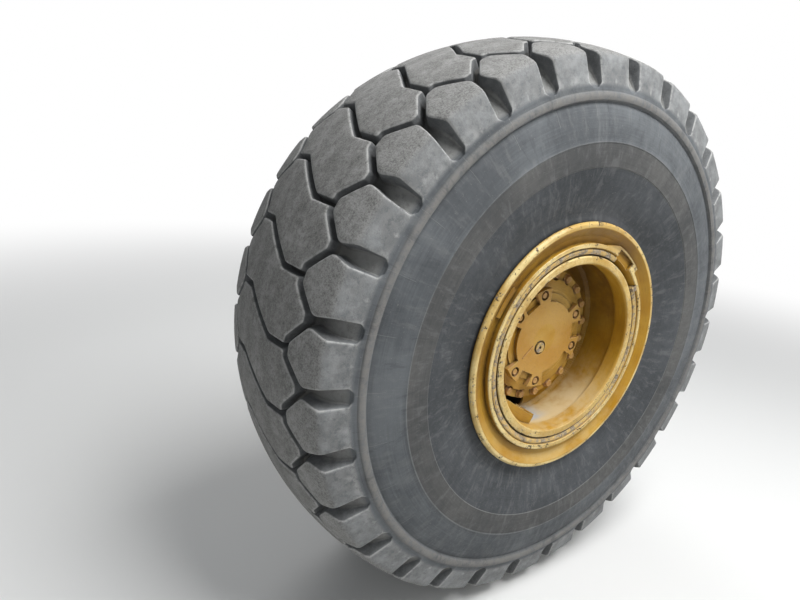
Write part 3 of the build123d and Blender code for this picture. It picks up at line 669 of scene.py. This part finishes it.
def pitch_mesh():
    """One pitch of the tread, flat: points (s, t), their depths, and triangles."""
    lug_edge, lug_rounding = lug_outline()
    block_edge, block_rounding = block_outline()
    points, depths, edges = [], [], []

    def add_path(path, path_depths, closed):
        first, count = len(points), len(path)
        points.extend(path)
        depths.extend(path_depths)
        edges.extend((first + k, first + (k + 1) % count) for k in range(count if closed else count - 1))

    for inside, depth in RINGS:
        lug = fillet(offset(lug_edge, -inside, False), lug_rounding, False, 3)
        lug = divide(lug, EDGE_SPACING, False)
        block = fillet(offset(block_edge, inside, True), block_rounding, True, 3)
        block = divide(block, EDGE_SPACING, True)
        for path, closed in ((lug, False), (reflect(lug), False), (block, True)):
            add_path(path, [depth] * len(path), closed)
    border, border_depths = pitch_border([(LUG_TIP + inside, depth) for inside, depth in RINGS])
    add_path(border, border_depths, True)

    # Points inside the blocks and on the floor of the slots, in rows set off by half a step
    fixed = np.array([(p.x, p.y) for p in points])
    boundary = [tuple(p) for p in border]
    lug_area = lug_edge + [Vector((HALF_PITCH, T_END)), Vector((-HALF_PITCH, T_END))]
    areas = [[tuple(p) for p in area] for area in (block_edge, lug_area, reflect(lug_area))]
    for j, t in enumerate(np.arange(-T_END + FILL_SPACING / 2, T_END, FILL_SPACING * 0.866)):
        for s in np.arange(-2.5 * HALF_PITCH, 1.5 * HALF_PITCH, FILL_SPACING):
            s = s + (j % 2) * FILL_SPACING / 2
            clearance = np.min(np.hypot(*(fixed - (s, t)).T))
            if inside_path((s, t), boundary) and clearance >= FILL_CLEARANCE:
                points.append(Vector((s, t)))
                depths.append(0.0 if any(inside_path((s, t), area) for area in areas) else 1.0)

    verts, _, faces, origins, _, _ = delaunay_2d_cdt(points, edges, [], 1, 1e-6)
    depth_of = [depths[o[0]] if o else None for o in origins]
    known = [k for k, d in enumerate(depth_of) if d is not None]
    for k, d in enumerate(depth_of):
        if d is None:
            depth_of[k] = depth_of[min(known, key=lambda m: (verts[m] - verts[k]).length)]
    return verts, depth_of, faces


# Casing from below the slots to the bead: (radius, across)
WALL = (
    (0.7430, 0.3052), (0.7390, 0.3078), (0.7290, 0.3086), (0.7225, 0.3070),  # ridge
    (0.7190, 0.3010), (0.7165, 0.2992), (0.7135, 0.3000), (0.7090, 0.3030),  # hollow inside the ridge
    (0.700, 0.3064), (0.680, 0.3120), (0.655, 0.3178), (0.630, 0.3216),
    (0.6185, 0.3226), (0.6170, 0.3236), (0.6145, 0.3236), (0.6130, 0.3226),  # moulded ring
    (0.596, 0.3236), (0.575, 0.3236), (0.5500, 0.3222), (0.5485, 0.3206),  # fine step
    (0.5460, 0.3202), (0.525, 0.3166), (0.500, 0.3110), (0.475, 0.3042), (0.450, 0.2965), (0.430, 0.2905),
    (0.415, 0.2872), (0.405, 0.2872), (0.398, 0.2890), (0.390, 0.2880), (0.380, 0.2855),  # round the flange
    (0.365, 0.2815), (0.352, 0.2791), (0.3178, 0.2791), (0.3117, 0.2091),  # bead
)


def worn_down(point):
    """Point of a block's top, moved inward a little, because the blocks are worn and uneven."""
    uneven = noise.noise(point * 14.0) * 0.0008 + noise.noise(point * 55.0) * 0.0005
    fade = min(1.0, max(0.0, (point.xz.length - WEAR_RADIUS) / WEAR_FADE))
    return point - Vector((point.x, 0.0, point.z)).normalized() * abs(uneven) * fade


def build_tyre():
    """Verts and faces of the tread, pitch by pitch, and of the casing."""
    flat, depths, pitch_faces = pitch_mesh()
    pitch = [tread_point(p.x, p.y, depth) for p, depth in zip(flat, depths)]
    verts, faces = [], []
    for k in range(PITCHES):
        first = len(verts)
        faces += [tuple(first + i for i in face) for face in pitch_faces]
        for (r, angle, w), depth in zip(pitch, depths):
            point = place(r, angle + 2 * math.pi * k / PITCHES, w)
            verts.append(worn_down(point) if depth < RAISED else point)
    end_w, end_r = along_path(T_END, top_length, top_path)
    outer = [(end_r, end_w), *WALL]
    profile = outer + [(r, -w) for r, w in reversed(outer)]
    first, turns = len(verts), 360
    verts += [place(r, SLOT_START + math.radians(k), w) for k in range(turns) for r, w in profile]
    faces += [tuple(first + i for i in face) for face in skin(turns, len(profile), closed_profile=False)]
    return verts, faces


def mark_tread_height(obj):
    """Stores how far each vertex stands above the floor of the grooves, as a share, for the material."""
    places = np.array([v.co[:] for v in obj.data.vertices])
    radius = np.hypot(places[:, 0], places[:, 2])
    side = np.abs(CENTRE_Y - places[:, 1])
    samples = np.linspace(0.0, T_END, 400)
    tops = np.array([along_path(t, top_length, top_path) for t in samples])
    floors = np.array([along_path(t, floor_length, floor_path) for t in samples])
    values = np.ones(len(places), np.float32)
    for i, (w, r) in enumerate(zip(side, radius)):
        if r > MARKED_RADIUS:
            to_top = np.min(np.hypot(tops[:, 0] - w, tops[:, 1] - r))
            to_floor = np.min(np.hypot(floors[:, 0] - w, floors[:, 1] - r))
            values[i] = to_floor / (to_top + to_floor)
    attribute = obj.data.attributes.new(HEIGHT_NAME, "FLOAT", "POINT")
    attribute.data.foreach_set("value", values)


mark_tread_height(add_piece("tyre_block_tread", *build_tyre(), "tyre_rubber", 32.0, ("tyre",)))

# Rim. Outlines are (radius, across, rounding of the corner)

TURN_STEP = 1.5  # degrees
BASE_BORE, BASE_OUTSIDE = 0.28305, 0.29705
BASE_START, BASE_END = -0.200, 0.246  # across
SEAT_LOW, SEAT_HIGH = 0.3106, 0.3175  # radii of the tapered bead seats
SEAT_END, LIP_FACE, RIM_END = 0.2794, 0.2897, 0.307  # across: seat, stop lip's inner face, end of the rim
LIP_RADIUS = 0.331
FLANGE = (
    (0.3178, 0.2794, 0.001), (0.352, 0.2794, 0.012), (0.3937, 0.2949, 0.006), (0.3937, 0.3044, 0.006),
    (0.3877, 0.3104, 0.005), (0.3777, 0.3104, 0.006), (0.352, 0.2944, 0.012), (0.3313, 0.2894, 0.003),
    (0.3178, 0.2894, 0.001),
)
GUTTER = (
    (0.26605, 0.298, 0.004), (0.27105, 0.304, 0.004), (0.29305, 0.304, 0.0045), (0.29305, 0.292, 0.001),
    (0.28505, 0.292, 0.002), (0.28505, 0.271, 0.003), (BASE_OUTSIDE, 0.265, 0.001),
    (BASE_OUTSIDE, BASE_END, 0), (BASE_BORE, BASE_END, 0), (0.26605, 0.254, 0.003),
)
BASE = (
    (BASE_BORE, BASE_END, 0), (BASE_OUTSIDE, BASE_END, 0), (BASE_OUTSIDE, BASE_START, 0),
    (BASE_BORE, BASE_START, 0),
)
BACK = (
    (BASE_BORE, BASE_START, 0), (SEAT_LOW, BASE_START, 0.001), (SEAT_HIGH, -SEAT_END, 0.002),
    (SEAT_HIGH, -LIP_FACE, 0.001), (LIP_RADIUS, -LIP_FACE, 0.003), (LIP_RADIUS, -RIM_END, 0.004),
    (BASE_BORE, -RIM_END, 0.004),
)
LOCK_RING = (
    (0.28535, 0.2713, 0.001), (0.28535, 0.2917, 0.001), (0.2935, 0.2917, 0.001), (0.2965, 0.2965, 0.003),
    (0.2985, 0.3020, 0.003), (0.3080, 0.3045, 0.005), (0.3150, 0.3020, 0.002), (0.3128, 0.2980, 0.002),
    (0.2955, 0.2713, 0.001),
)
NUB = (
    (0.3015, 0.3030, 0.0005), (0.3215, 0.3075, 0.001), (0.3215, 0.3100, 0.001), (0.3135, 0.3100, 0.002),
    (0.3015, 0.3070, 0.001),
)
PRY_STRIP = (
    (0.3385, 0.2905, 0.0005), (0.3590, 0.2985, 0.001), (0.3590, 0.3010, 0.001), (0.3530, 0.3030, 0.002),
    (0.3385, 0.2990, 0.002),
)


def turned(name, outline, replaces=(), slot="rim_paint", start=0.0, sweep=360.0):
    """Piece spun from an outline, from one angle on and through another, both in degrees."""
    corners, rounding = [Vector(corner[:2]) for corner in outline], [corner[2] for corner in outline]
    path = fillet(corners, rounding, True, 4)
    full, count = sweep == 360.0, round(sweep / TURN_STEP)
    turns = count if full else count + 1
    verts = [place(p.x, math.radians(start + sweep * k / count), p.y) for k in range(turns) for p in path]
    add_piece(name, verts, skin(turns, len(path), full), slot, 50.0, replaces)


turned("outer_flange_rolled", FLANGE, ("outer_side_flange",))
turned("inner_flange_rolled", [(r, -w, rounding) for r, w, rounding in FLANGE], ("inner_side_flange",))
turned("gutter_rolled", GUTTER, ("gutter_section",))
turned("base_tube", BASE, ("rim_base",))
turned("back_rolled", BACK, ("back_section",))
turned("lock_ring_worn", LOCK_RING, ("lock_ring",), "bare_steel", start=64.0, sweep=332.0)
# Nub at the lock ring's end, and the strip beside the pry notch of the flange
turned("lock_ring_nub", NUB, slot="bare_steel", start=32.8, sweep=3.0)
turned("pry_strip", PRY_STRIP, start=142.0, sweep=15.0)

BAND_BORE, BAND_START = 0.29735, 0.200
# Housing of the driver key on the bead seat band's stop lip, and the pocket in it. Angles are in degrees
HOUSING_START, HOUSING_END, HOUSING_TAPER = 44.0, 76.0, 10.0
HOUSING_RISE, HOUSING_FACE = 0.016, 0.2947
POCKET_START, POCKET_END, POCKET_TOP, POCKET_FLOOR = 49.3, 64.7, 0.340, 0.2977
STEP = 0.05  # over which an end wall of housing or pocket rises
HOUSING_STOPS = (48.0, 48.05, 66.0, 67.0, 68.5, 70.5, 73.0, HOUSING_END)  # more angles round it


def bead_seat_band():
    """The band, whose stop lip carries the housing of the driver key with the pocket in it."""
    walls = (HOUSING_START, POCKET_START, POCKET_END - STEP)
    stops = [k * TURN_STEP for k in range(240)] + [*HOUSING_STOPS, *walls, *(wall + STEP for wall in walls)]
    angles = sorted(set(round(angle, 3) for angle in stops))
    verts = []
    for angle in angles:
        share = min(1.0, (angle - HOUSING_START) / STEP, (HOUSING_END - angle) / HOUSING_TAPER)
        top = LIP_RADIUS + HOUSING_RISE * max(0.0, share)
        if POCKET_START + STEP / 2 < angle < POCKET_END - STEP / 2:
            face = ((POCKET_TOP, RIM_END), (POCKET_TOP, POCKET_FLOOR), (0.31295, POCKET_FLOOR))
        else:
            face = ((top - 0.003, RIM_END), (0.325, RIM_END), (0.319, RIM_END))
        profile = (
            (BAND_BORE, BAND_START), (SEAT_LOW, BAND_START), (SEAT_HIGH, SEAT_END), (SEAT_HIGH, LIP_FACE),
            (LIP_RADIUS, LIP_FACE), (LIP_RADIUS, HOUSING_FACE), (top, HOUSING_FACE), (top, 0.305),
            (top - 0.0015, RIM_END), *face, (BAND_BORE, 0.2737),
        )
        verts += [place(r, math.radians(angle), w) for r, w in profile]
    faces = skin(len(angles), len(profile))
    add_piece("band_with_key_housing", verts, faces, "rim_paint", 35.0, ("bead_seat_band",))


bead_seat_band()

DISC_INNER, DISC_OUTER = 0.108, 0.130  # faces of the rim disc, across
DISC_RADIUS, DISC_BORE = 0.2829, 0.178
HOLE_RADIUS, HOLE_HALF = 0.2515, 0.023  # of the hand holes: middle, and half the width
HOLE_REACH, HOLE_ANGLES = 9.5, (98.0, 262.0)  # degrees to either side, and the middles


def hand_hole(angle):
    """Outline of a slot with round ends that follows a circle."""
    sides = range(-8, 9)
    path = [spot(HOLE_RADIUS + HOLE_HALF, angle + HOLE_REACH * k / 8) for k in sides]
    end = angle + HOLE_REACH
    path += [spot(HOLE_RADIUS, end) + spot(HOLE_HALF, end + 18 * k) for k in range(1, 10)]
    path += [spot(HOLE_RADIUS - HOLE_HALF, angle - HOLE_REACH * k / 8) for k in sides]
    end = angle - HOLE_REACH
    path += [spot(HOLE_RADIUS, end) + spot(HOLE_HALF, end + 180 + 18 * k) for k in range(1, 10)]
    return path


def disc_with_hand_holes():
    """The disc, with the hand hole above the hub and the one below it."""
    openings = [[spot(DISC_BORE, 3 * k) for k in range(120)]] + [hand_hole(angle) for angle in HOLE_ANGLES]
    points, edges, verts, faces = [], [], [], []
    for loop in [[spot(DISC_RADIUS, TURN_STEP * k) for k in range(240)]] + openings:
        first, count = len(points), len(loop)
        points += loop
        edges += [(first + k, first + (k + 1) % count) for k in range(count)]
    for a, b in edges:
        faces.append(tuple(range(len(verts), len(verts) + 4)))
        verts += [lifted(points[i], DISC_INNER) for i in (a, b)]
        verts += [lifted(points[i], DISC_OUTER) for i in (b, a)]
    flat, _, triangles, _, _, _ = delaunay_2d_cdt(points, edges, [], 1, 1e-7)
    open_areas = [[tuple(p) for p in loop] for loop in openings]
    for triangle in triangles:
        centre = sum((flat[i] for i in triangle), Vector((0.0, 0.0))) / 3
        if any(inside_path(centre, area) for area in open_areas):
            continue
        for w in (DISC_INNER, DISC_OUTER):
            faces.append(tuple(range(len(verts), len(verts) + 3)))
            verts += [lifted(flat[i], w) for i in triangle]
    add_piece("disc_with_hand_holes", verts, faces, "rim_paint", 30.0, ("rim_disc",))


disc_with_hand_holes()


def disc_weld():
    """Weld between disc and base, with the ripples of its runs."""
    turns, verts = 720, []
    for k in range(turns):
        angle = math.radians(360 * k / turns)
        lump = noise.noise(Vector((math.cos(angle), math.sin(angle), 0.0)) * 40.0)
        ripple = 0.0009 * math.sin(k * 1.9) + 0.0008 * lump
        section = (
            (0.2835, 0.1415 + ripple), (0.2788 - ripple, 0.1375 + ripple), (0.2755 - ripple, 0.1335),
            (0.2715 + ripple, 0.1295), (0.2835, 0.1295),
        )
        verts += [place(r, angle, w) for r, w in section]
    add_piece("disc_weld", verts, skin(turns, len(section)), "rim_paint", 60.0)


disc_weld()

# Bolts of the final drive: radius of the circle, its seat across, radius of the washer, half the width
# across flats, height over the seat, and the bolts' angles in degrees

DRIVE_BOLTS, EARS = 20, 3
DRIVE_ANGLES = [8 + 360 / DRIVE_BOLTS * k for k in range(DRIVE_BOLTS)]
EAR_ANGLES = [4.7 + 360 / EARS * k + side for k in range(EARS) for side in (-22.4, 22.4)]
DRIVE_CIRCLE = (0.204, 0.165, 0.0165, 0.0112, 0.0130, DRIVE_ANGLES)
EAR_CIRCLE = (0.147, 0.187, 0.0130, 0.0092, 0.0120, EAR_ANGLES)
BOLT_POINTS = 24


def bolt_head(middle, seat, washer, flat, height, turn):
    """Verts and faces of a hexagon head on a washer."""
    def radii(angle):
        off = (math.degrees(angle) + 30.0) % 60.0 - 30.0
        side = flat / math.cos(math.radians(off))
        return (washer, washer, washer - 0.0006, side, side, min(side, flat * 1.02),
                flat * 0.93, flat * 0.66, flat * 0.62)

    lifts = (0.0, 0.0024, 0.0030, 0.0030, height - 0.0018, height - 0.0006, height, height, height - 0.0006)
    angles = [2 * math.pi * k / BOLT_POINTS for k in range(BOLT_POINTS)]
    verts = [lifted(middle + Vector((math.cos(a + turn), math.sin(a + turn))) * radii(a)[layer], seat + lift)
             for layer, lift in enumerate(lifts) for a in angles]
    return verts, skin(len(lifts), BOLT_POINTS, full_turn=False)


def bolt_circle(name, circle, turns):
    """Heads round the axle, each turned by its own angle."""
    radius, seat, washer, flat, height, angles = circle
    verts, faces = [], []
    for angle, turn in zip(angles, turns):
        more_verts, more_faces = bolt_head(spot(radius, angle), seat, washer, flat, height, turn)
        faces += [tuple(len(verts) + i for i in face) for face in more_faces]
        verts += more_verts
    add_piece(name, verts, faces, "hub_paint", 30.0)


bolt_turns = np.random.default_rng(3).uniform(0.0, math.pi / 3, DRIVE_BOLTS + 2 * EARS)
bolt_circle("drive_bolts", DRIVE_CIRCLE, bolt_turns[:DRIVE_BOLTS])
bolt_circle("ear_bolts", EAR_CIRCLE, bolt_turns[DRIVE_BOLTS:])

# Tab welded on the web of the valve guard: distance from the axle, and along the web
GUARD_ANGLE = 237.0  # degrees
TAB = ((0.2290, 0.050), (0.2290, 0.0735), (0.2230, 0.0745), (0.2230, 0.051))
TAB_ENDS = (0.1985, 0.2605)  # across
# Level mark cast on the cover: its ends, half its width, and its foot and top across
MARK_START, MARK_END, MARK_HALF = Vector((-0.0875, -0.0575)), Vector((-0.0475, -0.0200)), 0.0021
MARK_FOOT, MARK_TOP, MARK_TAPER = 0.1995, 0.2018, 0.985


def guard_tab():
    out, along = spot(1.0, GUARD_ANGLE), spot(1.0, GUARD_ANGLE + 90.0)
    tab = [out * depth + along * reach for depth, reach in TAB]
    verts = [lifted(p, w) for w in TAB_ENDS for p in tab]
    add_piece("guard_tab", verts, skin(2, 4, full_turn=False), "rim_paint", 30.0)


def level_mark():
    run = MARK_END - MARK_START
    side, middle = Vector((-run.y, run.x)).normalized() * MARK_HALF, (MARK_START + MARK_END) / 2
    rail = [MARK_START - side, MARK_END - side, MARK_END + side, MARK_START + side]
    verts = [lifted(middle + (p - middle) * taper, w)
             for w, taper in ((MARK_FOOT, 1.0), (MARK_TOP, MARK_TAPER)) for p in rail]
    add_piece("level_mark", verts, skin(2, 4, full_turn=False), "hub_paint", 30.0)


guard_tab()
level_mark()

# Camera, fitted to the circles of rim and tyre

LENS, SENSOR = 27.01, 36.0  # millimetres
CAMERA_PLACE = (-1.43061, -1.69089, 0.62348)
CAMERA_RIGHT = Vector((0.82594, -0.55510, 0.09841))
CAMERA_DOWN = Vector((-0.08468, -0.29474, -0.95182))
CAMERA_FORWARD = Vector((0.55736, 0.77782, -0.29044))

scene = bpy.context.scene
camera_data = bpy.data.cameras.new("camera")
camera_data.lens, camera_data.sensor_width = LENS, SENSOR
camera = bpy.data.objects.new("camera", camera_data)
camera_turn = Matrix((CAMERA_RIGHT, -CAMERA_DOWN, -CAMERA_FORWARD)).transposed().to_4x4()
camera.matrix_world = Matrix.Translation(CAMERA_PLACE) @ camera_turn
scene.collection.objects.link(camera)
scene.camera = camera

# Floor, world and lamps

FLOOR_REACH = 30.0
FADE_NEAR, FADE_FAR = 2.0, 6.5  # distances over which the ground fades to white
FLOOR_COLOUR = (0.70, 0.70, 0.69, 1.0)
SKY_COLOUR, SKY_STRENGTH = (0.90, 0.95, 1.0, 1.0), 0.22
WHITE = (1.0, 1.0, 1.0, 1.0)
# Area lamps: name, place, size and power
LAMPS = (
    ("sky", (0.5, -2.0, 3.6), 2.2, 245.0),
    ("front", (-3.6, -2.6, 1.2), 2.2, 22.0),
    ("side", (2.8, -3.2, 1.4), 2.0, 34.0),
    ("back", (0.8, 3.0, 3.0), 2.6, 70.0),
)


def pale_floor():
    """Pale ground that fades to plain white away from the object, as the camera and mirrors see it."""
    s = Shader(bpy.data.materials.new("floor_pale"))
    rays = s.node("LightPath").node.outputs
    mirrored = s.math("MAXIMUM", rays["Is Glossy Ray"], rays["Is Transmission Ray"])
    seen = s.math("MAXIMUM", rays["Is Camera Ray"], mirrored)
    distance = s.node("VectorMath", {0: s.point}, output="Value", operation="LENGTH")
    ground = s.node("BsdfPrincipled", {"Base Color": FLOOR_COLOUR, "Roughness": 0.9})
    glow = s.node("Emission", {"Color": WHITE, "Strength": 1.0})
    fade = s.times(s.ramp(distance, FADE_NEAR, FADE_FAR), seen)
    return s.close("OutputMaterial", s.node("MixShader", {0: fade, 1: ground, 2: glow}))


def studio_world():
    """Soft light all round, and plain white where the camera looks past the floor."""
    s = Shader(bpy.data.worlds.new("studio"))
    rays = s.node("LightPath").node.outputs
    seen = s.math("MAXIMUM", rays["Is Camera Ray"], rays["Is Transmission Ray"])
    light = s.node("Background", {"Color": SKY_COLOUR, "Strength": SKY_STRENGTH})
    white = s.node("Background", {"Color": WHITE, "Strength": 1.0})
    return s.close("OutputWorld", s.node("MixShader", {0: seen, 1: light, 2: white}))


corners = [(x * FLOOR_REACH, y * FLOOR_REACH, 0.0) for x, y in ((-1, -1), (1, -1), (1, 1), (-1, 1))]
floor_mesh = bpy.data.meshes.new("floor")
floor_mesh.from_pydata(corners, [], [(0, 1, 2, 3)])
floor_mesh.materials.append(pale_floor())
floor = bpy.data.objects.new("floor", floor_mesh)
floor.location = (0.0, CENTRE_Y, FLOOR_Z)
scene.collection.objects.link(floor)

scene.world = studio_world()

for name, where, size, power in LAMPS:
    lamp = bpy.data.lights.new(name, "AREA")
    lamp.size, lamp.energy = size, power
    lamp_object = bpy.data.objects.new(name, lamp)
    lamp_object.location = where
    aim = Vector((0.0, CENTRE_Y, 0.0)) - Vector(where)
    lamp_object.rotation_euler = aim.to_track_quat("-Z", "Y").to_euler()
    scene.collection.objects.link(lamp_object)

scene.view_settings.view_transform = "Standard"
